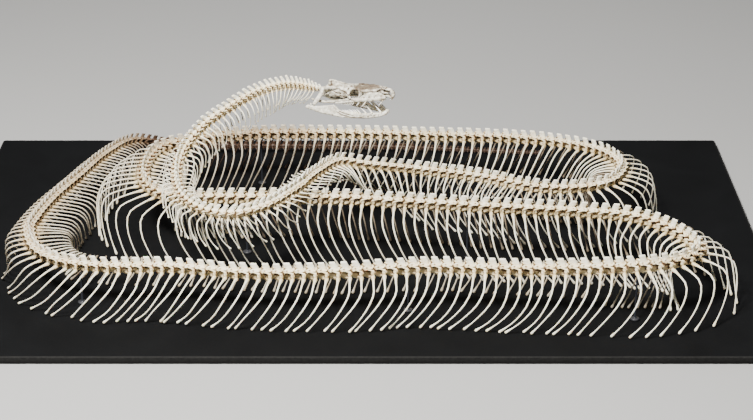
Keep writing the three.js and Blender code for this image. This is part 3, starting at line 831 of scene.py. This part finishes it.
def cranium():
    s = Sculpt((-4, -24, -26), (122, 24, 18), 0.5)
    s.blob((30, 0, -0.5), (24, 12.2, 9.5), 2)
    s.blob((21, 0, -1.5), (15, 13.4, 9), 2)
    s.blob((11, 0, -1.5), (8, 11, 7.6), 2)
    s.blob((62, 0, -1), (18, 5.2, 4.6), 2)
    s.block((28, 0, -2.4), (17, 12.2, 7.8), 5, 1.5)
    s.chain([(4, 0, -6.5), (20, 0, -8.4), (40, 0, -8)], [3, 3.6, 3], 2)
    s.chain([(40, 0, -8), (58, 0, -6.6), (84, 0, -6)], [3, 1.9, 1.3], 1.5)
    s.blob((0.6, 0, -4.6), (2.6, 2.7, 2.4), 0.8)
    s.chain([(9, 0, 4), (13.5, 0, 8.4), (17, 0, 11.3), (27, 0, 8.3), (41, 0, 6.5), (52, 0, 5.2)],
            [2.4, 2.4, 2.4, 1.9, 1.7, 1.5], 1.5)
    s.block((16, 0, 9.4), (4.6, 3.2, 3.4), 1.2, 1, tilt=(1, 42))
    s.block((64, 0, 3.2), (13, 9, 1.6), 1.2, 1.5)
    for s.side in (-1, 1):
        s.chain([(5, 5, 1), (8, 11, 2.6), (7, 15.5, 3.6)], [3, 2.4, 1.5], 1.5)
        s.chain([(52, 9.4, 3.6), (42, 6.8, 5.4), (30, 3, 7.8)], [1.6, 1.4, 1.2], 1.2)
        s.chain([(48, 11.2, 3), (53, 12.4, 4.4), (59, 12.4, 4.5), (66, 11.4, 3.6)],
                [1.7, 1.3, 1.3, 1.6], 1.2)
        s.bar((57, 7, 3.2), (57, 12, 2.9), 1.5, 1.3, 1.2)
        s.chain([(48.5, 10.8, 2.6), (44.6, 13.6, -0.6), (44, 16.2, -5.2),
                 (47, 18.6, -9.3)], [2.7, 2.8, 2.4, 1.8], 0.9, flat=(1, 1.5))
        s.chain([(64.5, 13, -4.5), (66, 12.3, 0.6), (78, 9.9, 1.6), (93, 6.6, 1.2)],
                [3, 3.2, 3, 2.2], 2)
        s.blob((77, 10.6, -1.8), (15, 3, 4.2), 1.5)
        s.chain([(60.8, 12.8, 3.4), (63.2, 14, -0.4), (63.4, 15.8, -5.2),
                 (60.6, 17.2, -10)], [1.4, 1.6, 1.6, 1.3], 0.8)
        s.chain([(78, 3.5, 3), (92, 3.5, 2.6), (103, 3, 0.8), (111, 1.7, -1.7)],
                [3, 2.6, 2.1, 1.4], 0.9, flat=(2, 1.3))
        s.blob((96, 4.2, -5.4), (9, 3, 3.2), 1)
        s.chain([(90, 4.6, -2), (100, 4.6, -3.6), (109, 3.4, -6.5)], [2.2, 1.8, 1.2], 1)
        s.bar((113.2, 5, -13.2), (116.6, 0.6, -14.2), 1.6, 2.2, 1)
        s.bar((113.5, 1.4, -12.8), (103, 2, -10.8), 1.4, 1, 0.8)
        s.chain([(30, 3, -8.6), (32, 7.5, -10.6), (37, 9.5, -11.6)], [2.2, 1.8, 1.2], 0.9)
    s.chain([(105, 0, 0.9), (112, 0, -1.7), (116.2, 0, -6), (117.2, 0, -10.5), (116.2, 0, -14)],
            [1.8, 2.2, 2.8, 2.9, 2.4], 0.9)
    for s.side in (-1, 1):
        s.blob((54.2, 15.5, -3.7), (7.6, 8.2, 7.2), 0.6, carve=True)
        s.blob((102, 7.6, -2.6), (4.6, 2.8, 2), 0.6, carve=True)
        s.blob((31.4, 12.9, -3.6), (1.5, 2.4, 1.3), 0.4, carve=True)
        s.blob((24, 13.6, -2.8), (1.1, 2, 1), 0.4, carve=True)
        s.blob((13, 11.6, -3), (2, 2.4, 1.6), 0.5, carve=True)
        for seam in ([(20, 12.6, 5.2), (28, 12.2, 5.4), (36, 10.9, 5)],
                     [(22, 13.6, 2), (20.5, 13.2, -4), (22, 11.2, -8)],
                     [(38, 11.8, -1), (40, 11.2, -5.5), (38, 9.4, -8.4)],
                     [(62, 3, 5), (64, 8.5, 4.8), (63, 12.4, 4.4)],
                     [(79, 1, 5.4), (82, 6.5, 4.6), (90, 6.2, 3.4), (101, 5.2, 1.6)],
                     [(65, 16, -4.6), (76, 14.4, -1.6), (88, 11.6, -1)]):
            s.groove(seam, 0.55, 0.25)
    s.groove([(50, 0, 6.9), (64, 0, 4.9), (80, 0, 5.3), (92, 0, 4.6), (104, 0, 2.7)], 0.6, 0.3)
    s.groove([(46, -7, 6.4), (48, 0, 7.2), (46, 7, 6.4)], 0.6, 0.3)
    s.bar((-3, 0, 0.6), (6, 0, 0.4), 2.6, 1.8, 0.6, carve=True)
    return s


def maxilla():
    s = Sculpt((18, 4, -24), (110, 30, 4), 0.45)
    s.chain([(24, 24.3, -15.6), (34, 23.6, -15), (46, 21.3, -13.8), (62, 18, -12.9),
             (82, 14, -12.8), (96, 11.4, -13.2), (103.2, 8.8, -12.8)],
            [1.2, 1.8, 2.5, 3.1, 3.5, 3.4, 2.4], 1, flat=(1, 1.35))
    plate(s, {
        54: (-14, -11.6, 18.8, 2.2, 1.2), 62: (-15, -10.2, 17.2, 2.3, 1.3),
        66.5: (-15.2, -7, 16.3, 2.3, 1.4), 72: (-15.4, -3.6, 15, 2.4, 1.3),
        82: (-15.8, -1.8, 12.8, 2.4, 1.3), 92: (-16, -2.4, 10.8, 2.4, 1.3),
        98: (-15.6, -4.6, 9.6, 2.3, 1.4), 103.4: (-14.6, -8.6, 8.2, 1.9, 1.4),
    }, 1.3, 1)
    s.blob((74, 11.5, -14), (8, 3.4, 1.2), 1)
    s.blob((47, 17.6, -13.8), (6, 3.4, 1.2), 1)
    s.pits((89, 13.9, -7.6), (79, 16.3, -8.4), (70, 18.6, -9.8), (98, 11.8, -8.8))
    return s


def mandible():
    s = Sculpt((-28, -3, -50), (112, 38, -8), 0.48)
    plate(s, {
        -24: (-22, -17.8, 31, 1.8, 1.8), -18: (-24.2, -17.2, 31.2, 2.4, 1.9),
        -13: (-25.8, -18.8, 31, 2.5, 2.1), 0: (-31, -18.6, 30.5, 2.5, 1.3),
        14: (-34.1, -17.8, 29.8, 2.5, 1.2), 20.5: (-35.9, -17.4, 29, 2.4, 1.2),
        24: (-37, -20.5, 28.4, 2.4, 1.2), 28: (-38, -25, 27.8, 2.4, 1.4),
        34.5: (-39.5, -29, 27, 2.4, 1.8), 47: (-41.5, -31.8, 25, 2.3, 1.9),
        62: (-43.2, -35, 22, 2.3, 1.9), 75.5: (-44.5, -35.8, 18.5, 2.3, 1.9),
        88: (-45, -36.6, 14, 2.3, 1.9), 97.4: (-44.4, -38, 9.6, 2.1, 1.8),
        103: (-43.6, -38.2, 6.2, 2.3, 2), 106.6: (-42.8, -37.2, 3.2, 2.2, 2),
    }, 1.2, 0.9)
    s.blob((105.6, 3.8, -39.8), (3.2, 2.6, 3.5), 1.2)
    plate(s, {
        -6: (-29, -25.4, 26.6, 1.1, 1), 4: (-30.5, -25, 25.8, 1.1, 1),
        16: (-32.5, -25.4, 25.2, 1.1, 1), 24: (-34, -29, 25.6, 1.1, 1),
    }, 1.2, 0.8)
    s.chain([(-8, 28.8, -27.4), (4, 28, -30.5), (16, 27.4, -32.5), (26, 26.8, -34.5)],
            [1.7, 1.9, 2, 2], 1)
    s.chain([(20.2, 28.2, -18.4), (24.6, 27.4, -22.4), (29, 26.6, -27.6)], [1.5, 1.4, 1.2], 0.7)
    s.blob((-21.5, 31, -19.6), (3.5, 2.5, 3.3), 0.8)
    s.blob((-17.4, 31, -15.8), (1.8, 1.9, 2.4), 0.8)
    s.bar((-16, 30, -21), (-8, 29, -22.5), 3.2, 2.8, 1)
    s.blob((-12.2, 30, -15.6), (3.2, 4, 2.9), 0.5, carve=True)
    for seam in ([(31, 30, -28.5), (22, 31.2, -32.6), (34, 29.4, -36.8)],
                 [(34, 29.4, -36.8), (48, 27.6, -38.8), (58, 25.4, -40.6)],
                 [(19, 30.6, -20), (24, 30.2, -25), (31, 29.6, -28.6)],
                 [(-10, 33.4, -21.6), (2, 32.6, -23.6), (14, 31.8, -24.6)]):
        s.groove(seam, 0.55, 0.25)
    s.pits((82, 18.4, -40.2), (94, 13.6, -41), (70, 21.8, -39.4))
    return s


def palate():
    s = Sculpt((-20, 0, -22), (98, 28, -6), 0.45)
    s.chain([(-15.5, 21, -10), (-8, 20.2, -13.2), (5, 17.5, -16.4), (18, 15.5, -16.6),
             (30, 14, -15.6), (40, 11.8, -14.6)], [1.7, 2.3, 2.9, 3.3, 3, 2.2], 1, flat=(2, 1.6))
    s.chain([(-15.5, 21, -9.6), (-6, 20.6, -12), (6, 18.6, -14.8)], [1.2, 1.2, 1], 0.8)
    s.chain([(41, 11.5, -14.4), (52, 9, -14.2), (66, 7, -14), (80, 5.5, -13.6), (92, 4.6, -13.2)],
            [2.2, 2.2, 2.2, 1.9, 1.3], 0.5, flat=(2, 1.3))
    s.chain([(60, 7.5, -13.8), (63, 10.4, -14), (66, 12.4, -14.2)], [1.6, 1.4, 1], 0.8)
    return s


def ectopterygoid():
    s = Sculpt((16, 10, -22), (52, 28, -6), 0.4)
    s.chain([(21, 16.4, -15.4), (30, 19.8, -13.6), (37, 22.4, -11.8), (45, 22.2, -10.6)],
            [1.8, 2.1, 2.3, 1.5], 0.8, flat=(1, 1.2))
    return s


def quadrate():
    s = Sculpt((-20, 14, -22), (10, 36, 14), 0.4)
    s.chain([(1.6, 20.2, 6.6), (0.2, 21.4, 2), (-2.4, 23.3, -3.5), (-6.8, 26.5, -9.5),
             (-11.2, 29.4, -14.6)], [3.1, 3, 3.1, 3.5, 3.1], 1.2, flat=(1, 1.3))
    s.blob((1.8, 20.2, 7.2), (3.4, 2.2, 2), 0.8)
    s.blob((-11.6, 29.6, -15.2), (2.7, 3.5, 2.1), 0.8)
    s.chain([(-4.6, 24.6, -6.4), (-7.8, 25.2, -8.6), (-10.6, 26.6, -12.4)], [1.6, 1.7, 1.4], 0.8)
    return s


def supratemporal():
    s = Sculpt((-8, 6, 0), (34, 28, 16), 0.4)
    s.chain([(29, 11.6, 5.6), (20, 13.2, 6.4), (10, 15.6, 7.4), (2, 19, 7.9), (-2.2, 20.8, 7.4)],
            [1.5, 2.6, 3.1, 2.8, 2.2], 1, flat=(1, 1.9))
    s.blob((1.8, 20.2, 7.2), (3.7, 2.5, 2.3), 0.3, carve=True)
    s.bar((0, 19.6, 9.6), (6, 17.6, 9.4), 1.3, 1.3, 0.8)
    return s


def stapes():
    s = Sculpt((-8, 8, -10), (16, 28, 4), 0.4)
    s.chain([(13, 11.4, -2.8), (4, 17.5, -4.6), (-3.2, 23.4, -6.2)], [0.9, 0.65, 0.6], 0.4)
    s.blob((13, 11.6, -2.8), (1, 1.6, 1.4), 0.4)
    return s


def bone_shape(sculpt, reach):
    """Skinned, lightly smoothed bone with its stain, which is painted shade with some brown stain
    in its recesses.
    """
    vertices, quads = sculpt.skin()
    vertices = evened(vertices, quads)
    hollow = sculpt.hollowness(vertices, point_normals(vertices, quads), reach)
    return vertices, quads, 1.1 * np.clip((hollow - 0.16) / 0.3, 0, 1)


def evened(vertices, quads):
    """Each vertex moved halfway to the mean of its neighbours, then part of the way back."""
    a, b = quads.ravel(), np.roll(quads, -1, axis=1).ravel()
    count = np.bincount(a, minlength=len(vertices)) + np.bincount(b, minlength=len(vertices))
    for weight in (0.5, -0.42, 0.5, -0.42):
        total = np.stack([np.bincount(a, vertices[b, k], len(vertices))
                          + np.bincount(b, vertices[a, k], len(vertices)) for k in range(3)], -1)
        vertices = vertices + weight * (total / count[:, None] - vertices)
    return vertices


def posed(points):
    """Sculpted skull points in place: sides drawn forwards, snout raised, head turned."""
    x, y, z = points.T
    cosine, sine = math.cos(HEAD_TURN), math.sin(HEAD_TURN)
    out = np.sqrt(y**2 + MIDLINE_SOFT**2) - MIDLINE_SOFT
    forward = (x + out * sine) / cosine
    z = z + SNOUT_RAISE * (forward * sine - out * (1 - cosine))
    turned = [forward * cosine + y * sine, y * cosine - forward * sine, z]
    return ROUTE[0] + np.stack(turned, -1)


def mirrored(vertices, faces):
    return vertices * np.array((1, -1, 1)), faces[:, ::-1]


def seams(vertices, view, lines, width=0.5):
    """1 on wavering lines drawn on the bone in two of its axes, falling to 0 beside them."""
    flat = vertices[:, view] + 0.4 * np.sin(1.9 * vertices[:, view[::-1]])
    near = np.full(len(vertices), 1e3)
    for line in lines:
        for a, b in zip(np.array(line[:-1], float), np.array(line[1:], float)):
            along = np.clip((flat - a) @ (b - a) / ((b - a) @ (b - a)), 0, 1)
            near = np.minimum(near, np.linalg.norm(flat - a - along[:, None] * (b - a), axis=1))
    return np.exp(-(near / width) ** 2)


def skull_piece(name, shape, word, node, seed):
    """A skull bone as a piece; shapes are made for the left and mirrored for the right."""
    vertices, faces, stain_and_shade = shape
    if word == "right":
        vertices, faces = mirrored(vertices, faces)
    item = new_mesh(name, posed(vertices), faces, tagged(stain_and_shade, SKULL_AGE, seed))
    finish_piece(item, SKULL_BONE, "bone", node)


def tooth(base, length, first_lean, last_lean, wide, down):
    """Recurved cone; the leans are degrees towards the throat."""
    share = np.linspace(0, 1, 9)
    lean = np.radians(first_lean + (last_lean - first_lean) * share)
    up = -1 if down else 1
    move = np.stack([-np.sin(lean), 0 * lean, up * np.cos(lean)], -1)
    steps = np.cumsum(move[1:] + move[:-1], axis=0) * length * share[1] / 2
    line = base + np.concatenate([np.zeros((1, 3)), steps])
    radius = wide * (1 - share) ** 0.75 + 0.04
    radius[0] *= 1.25
    forward = np.stack([np.cos(lean), 0 * lean, up * np.sin(lean)], -1)
    rings = oval_rings(line, forward, np.array([(0, 1, 0)]), radius, radius)
    wear_and_shade = 0.5 * (1 - share) ** 3
    points, faces, extra = capped(rings, wear_and_shade, line[[0, -1]], wear_and_shade[[0, -1]])
    return points, faces[:, ::up], extra


def tooth_row(table, along, down, leans, missing=()):
    """Teeth of the table {x: length}; along is {x: (y, z)} of their roots."""
    made = []
    for number, (x, length) in enumerate(table.items()):
        if number in missing:
            continue
        spread = 4 * scatter(number + 31)
        made.append(tooth((x, *look_up(along, x)), length * (1 + 0.06 * scatter(number + 5)),
                          leans[0] + spread, leans[1] + spread, 0.42 + 0.085 * length, down))
    return made


UPPER_LINE = {
    24: (24, -16.4), 46: (21.2, -16), 62: (18, -15.4), 82: (14, -16), 96: (11, -16.2),
    101: (9.6, -15.4),
}
LOWER_LINE = {
    34: (27, -29.8), 47: (25, -32.6), 62: (22, -35.8), 75: (18.5, -36.6), 88: (14, -37.4),
    97: (9.8, -38.8), 106: (4, -40.2),
}
INNER_LINE = {
    16: (15.6, -18.2), 30: (14, -17.2), 40: (11.6, -15.8), 52: (9, -15.6), 66: (7, -15.2),
    80: (5.5, -14.8), 90: (4.8, -14.2),
}
UPPER_TEETH = {
    100.4: 12.5, 95.4: 12, 90: 12.5, 84.4: 12.5, 78.6: 12.3, 72.8: 12, 67.4: 11.4, 62.2: 10.4,
    57.4: 8.6, 53.6: 7.2, 50.2: 6.4, 47: 5.8, 43.8: 5.2, 40.6: 4.6, 37.6: 4.2, 34.6: 3.8,
    31.6: 3.4, 28.8: 3,
}
LOWER_TEETH = {
    104.6: 10, 98: 16, 90.6: 15, 83.4: 15.5, 78.6: 14, 74: 13.5, 69: 12.5, 64.6: 11.5, 60.6: 10.4,
    57.2: 9.4, 54.2: 8.8, 51.4: 8.2, 48.7: 7.6, 46.1: 7, 43.6: 6.4, 41.2: 5.8, 38.8: 5.2,
    36.6: 4.6,
}
INNER_TEETH = {88 - 3.9 * k: 5.6 - 0.14 * k for k in range(18)}
LOST_UPPER = {"left": (2, 5, 11), "right": (1, 2, 3, 4, 6, 8)}
LOST_LOWER = {"left": (3, 6, 12), "right": (0, 2, 4, 6)}

# Skull sutures, and small openings painted dark as painted shade; seen from the side (x, z) and
# above (x, y).
SIDE_VIEW, TOP_VIEW = [0, 2], [0, 1]
SEAM_STAIN_AND_OPENING_SHADE = 0.9
CRANIUM_SIDE = [
    [(65, 1), (72, -1), (84, 0), (97, -2)], [(30, 3), (40, -1), (46, -5)],
    [(31, -7), (31.6, -7.6)], [(37, -3.6), (37.6, -3.8)], [(98, 2), (104, 1), (109, 4)],
    [(12, 6), (20, 1), (27, -3)], [(103, -3), (104.6, -3.4)],
]
CRANIUM_TOP = [
    [(58, 0), (114, 0)], [(60, -12), (57, -5), (59, 0), (57, 5), (60, 12)],
    [(92, -9), (87, -4), (89, 0), (87, 4), (92, 9)], [(14, -9), (17, 0), (14, 9)],
    [(70, -12), (78, -7), (88, -6)], [(70, 12), (78, 7), (88, 6)],
]
JAW_SIDE = [
    [(26, -29), (33, -34), (50, -40), (66, -41.6)], [(30, -28), (40, -33), (52, -37)],
    [(86, -40.6), (87.4, -40.8)], [(76, -40.4), (77, -40.5)], [(18, -33), (18.6, -33.4)],
]
MAXILLA_SIDE = [
    [(70, -8.5), (70.8, -8.6)], [(78, -8.8), (78.8, -8.8)], [(87, -9), (87.8, -9)],
    [(36, -12), (46, -10.6), (54, -12.6)],
]

vertices, quads, stain_and_shade = bone_shape(cranium(), 4.5)
upper = np.clip((vertices[:, 2] - 4) / 3, 0, 1)
# Painted shade on the roof over the eyes.
brow_shade = np.clip((vertices[:, 0] - 51) / 6, 0, 1) * np.clip((99 - vertices[:, 0]) / 8, 0, 1)
brow_shade *= np.clip((vertices[:, 2] - 1.5) / 3, 0, 1)
drawn = (upper * seams(vertices, TOP_VIEW, CRANIUM_TOP, 0.6)
         + (1 - upper) * seams(vertices, SIDE_VIEW, CRANIUM_SIDE, 0.7))
# Base tint, a little more on top, painted shade over the eyes, dark sutures, and small openings
# painted dark as painted shade.
stain_and_shade = stain_and_shade + 0.25 + 0.05 * upper + 0.42 * brow_shade + SEAM_STAIN_AND_OPENING_SHADE * drawn
skull_piece("skull_cranium", (vertices, quads, stain_and_shade), "left", "cranium", 0.1)
# Each paired bone: name and node, sculpt, reach of its painted recess shade, tint, and sutures and
# openings.
for name, node, make, reach, tint, lines in (
        ("maxilla", "maxilla", maxilla, 3.2, 0.22, MAXILLA_SIDE),
        ("mandible", "mandible", mandible, 3.4, 0.12, JAW_SIDE),
        ("palate", "palate", palate, 3, 0.34, []),
        ("ectopterygoid", "palate", ectopterygoid, 2.6, 0.26, []),
        ("quadrate", "quadrate", quadrate, 3, 0.14, []),
        ("supratemporal", "quadrate", supratemporal, 3, 0.2, []),
        ("stapes", "quadrate", stapes, 1.5, 0.3, [])):
    vertices, quads, stain_and_shade = bone_shape(make(), reach)
    # Painted shade in the recesses and small openings, with the bone's tint and dark sutures.
    stain_and_shade = stain_and_shade + tint + SEAM_STAIN_AND_OPENING_SHADE * seams(vertices, SIDE_VIEW, lines, 0.65)
    seed = scatter(len(name)) * 0.6
    for word in ("left", "right"):
        skull_piece(f"skull_{name}_{word}", (vertices, quads, stain_and_shade), word, f"{node}_{word}", seed)
for word in ("left", "right"):
    for name, rows in (
            ("maxilla", tooth_row(UPPER_TEETH, UPPER_LINE, True, (12, 56), LOST_UPPER[word])),
            ("mandible", tooth_row(LOWER_TEETH, LOWER_LINE, False, (30, 48), LOST_LOWER[word])),
            ("palate", tooth_row(INNER_TEETH, INNER_LINE, True, (16, 52)))):
        points, faces, extra = join(rows)
        if word == "right":
            points, faces = mirrored(points, faces)
        item = new_mesh(f"teeth_{name}_{word}", posed(points), faces, extra)
        finish_piece(item, TOOTH, "bone", f"{name}_{word}")
points, faces, extra = join([
    tooth(base, length, *leans, wide, True) for base, length, leans, wide in (
        ((114.2, -4.4, -14.4), 5.2, (10, 50), 0.7), ((116.4, -1.6, -15.24), 6.72, (8, 46), 0.85),
        ((116.4, 1.6, -15.24), 6.72, (8, 46), 0.85), ((114.2, 4.4, -14.4), 5.2, (10, 50), 0.7))])
finish_piece(new_mesh("teeth_premaxilla", posed(points), faces, extra), TOOTH, "bone", "cranium")


# ---------------------------------------------------------------- board and rods
def board_slab():
    """Painted slab with rounded corners and eased edges; the profile is (inset, height, wear)."""
    profile = [(1, 0, 0.2), (0, 1, 0.6), (0, 11, 0.6), (0.3, 11.7, 1), (1, 12, 0.8), (3.5, 12, 0)]
    turn = np.linspace(0, math.pi / 2, 7)
    rings = []
    for inset, height, _ in profile:
        ring = []
        for k, signs in enumerate(((1, 1), (-1, 1), (-1, -1), (1, -1))):
            angle = turn + k * math.pi / 2
            middle = signs * (BOARD_HALF - BOARD_CORNER)
            corner = (BOARD_CORNER - inset) * np.stack([np.cos(angle), np.sin(angle)], -1)
            ring += [(*point, height) for point in middle + corner]
        rings.append(ring)
    return capped(np.array(rings), [row[2] for row in profile])


def rod_post(centre, bottom, top):
    """Round foot, thin shaft and a small collar under the spine; (radius, height, wear)."""
    tall = top - bottom
    profile = [(6.5, 0, 0.3), (7, 0.5, 0.5), (7, 2.1, 0.6), (6.5, 2.8, 1), (2.8, 3.2, 0.3),
               (1.9, 4.4, 0), (1.6, 7, 0), (1.6, tall - 5, 0), (1.9, tall - 3.8, 0.3),
               (2.15, tall - 2.6, 0.8), (2.15, tall - 0.5, 0.8), (1.8, tall, 1)]
    angle = np.linspace(0, 2 * math.pi, 24, endpoint=False)
    rings = [np.stack([centre[0] + radius * np.cos(angle), centre[1] + radius * np.sin(angle),
                       0 * angle + bottom + height], -1) for radius, height, _ in profile]
    return capped(np.array(rings), [row[2] for row in profile])


finish_piece(new_mesh("board_slab", *board_slab()), BOARD, "board", "board")
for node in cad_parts:
    if node.startswith("rod_"):
        low, high = (np.array(corner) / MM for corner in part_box(node))
        post = new_mesh(f"{node}_post", *rod_post((low + high) / 2, low[2], high[2]))
        finish_piece(post, ROD, "rod", node)

# ---------------------------------------------------------------- stage, light, camera
bpy.ops.mesh.primitive_plane_add(size=14, location=(0, 0, 0))
floor = bpy.context.object
floor.name = "floor"
floor_material = bpy.data.materials.new("floor")
floor_material.use_nodes = True
floor_shader = floor_material.node_tree.nodes["Principled BSDF"].inputs
floor_shader["Base Color"].default_value = (0.32, 0.318, 0.312, 1)
floor_shader["Roughness"].default_value = 0.8
floor.data.materials.append(floor_material)


def area_light(name, place, aim, size, power, color=(1, 1, 1)):
    data = bpy.data.lights.new(name, "AREA")
    data.shape = "RECTANGLE"
    data.size, data.size_y = size
    data.energy = power
    data.color = color
    lamp = add_object(name, data)
    lamp.location = place
    lamp.rotation_euler = (Vector(aim) - Vector(place)).to_track_quat("-Z", "Y").to_euler()


area_light("key", (-0.7, -1.5, 2.4), (0, 0.05, 0.08), (0.6, 0.45), 310, (1, 0.985, 0.955))
area_light("fill", (-1.9, -1.4, 1.3), (0, 0, 0.1), (1.6, 1.6), 6, (0.94, 0.97, 1))
area_light("back", (0.2, 2, 1.8), (0, 0, 0.1), (2.2, 1), 18)
world = bpy.data.worlds.new("world")
bpy.context.scene.world = world
world.use_nodes = True
sky = world.node_tree.nodes["Background"].inputs
sky["Color"].default_value = (0.9, 0.92, 0.95, 1)
sky["Strength"].default_value = 0.07

camera_data = bpy.data.cameras.new("camera")
camera_data.lens = 93.2
camera_data.sensor_width = 36
camera_data.clip_end = 60
camera = add_object("camera", camera_data)
camera.location = (SHIFT + CAMERA_PLACE) * MM
camera.rotation_euler = (math.radians(90 - CAMERA_DOWN), 0, 0)
bpy.context.scene.camera = camera
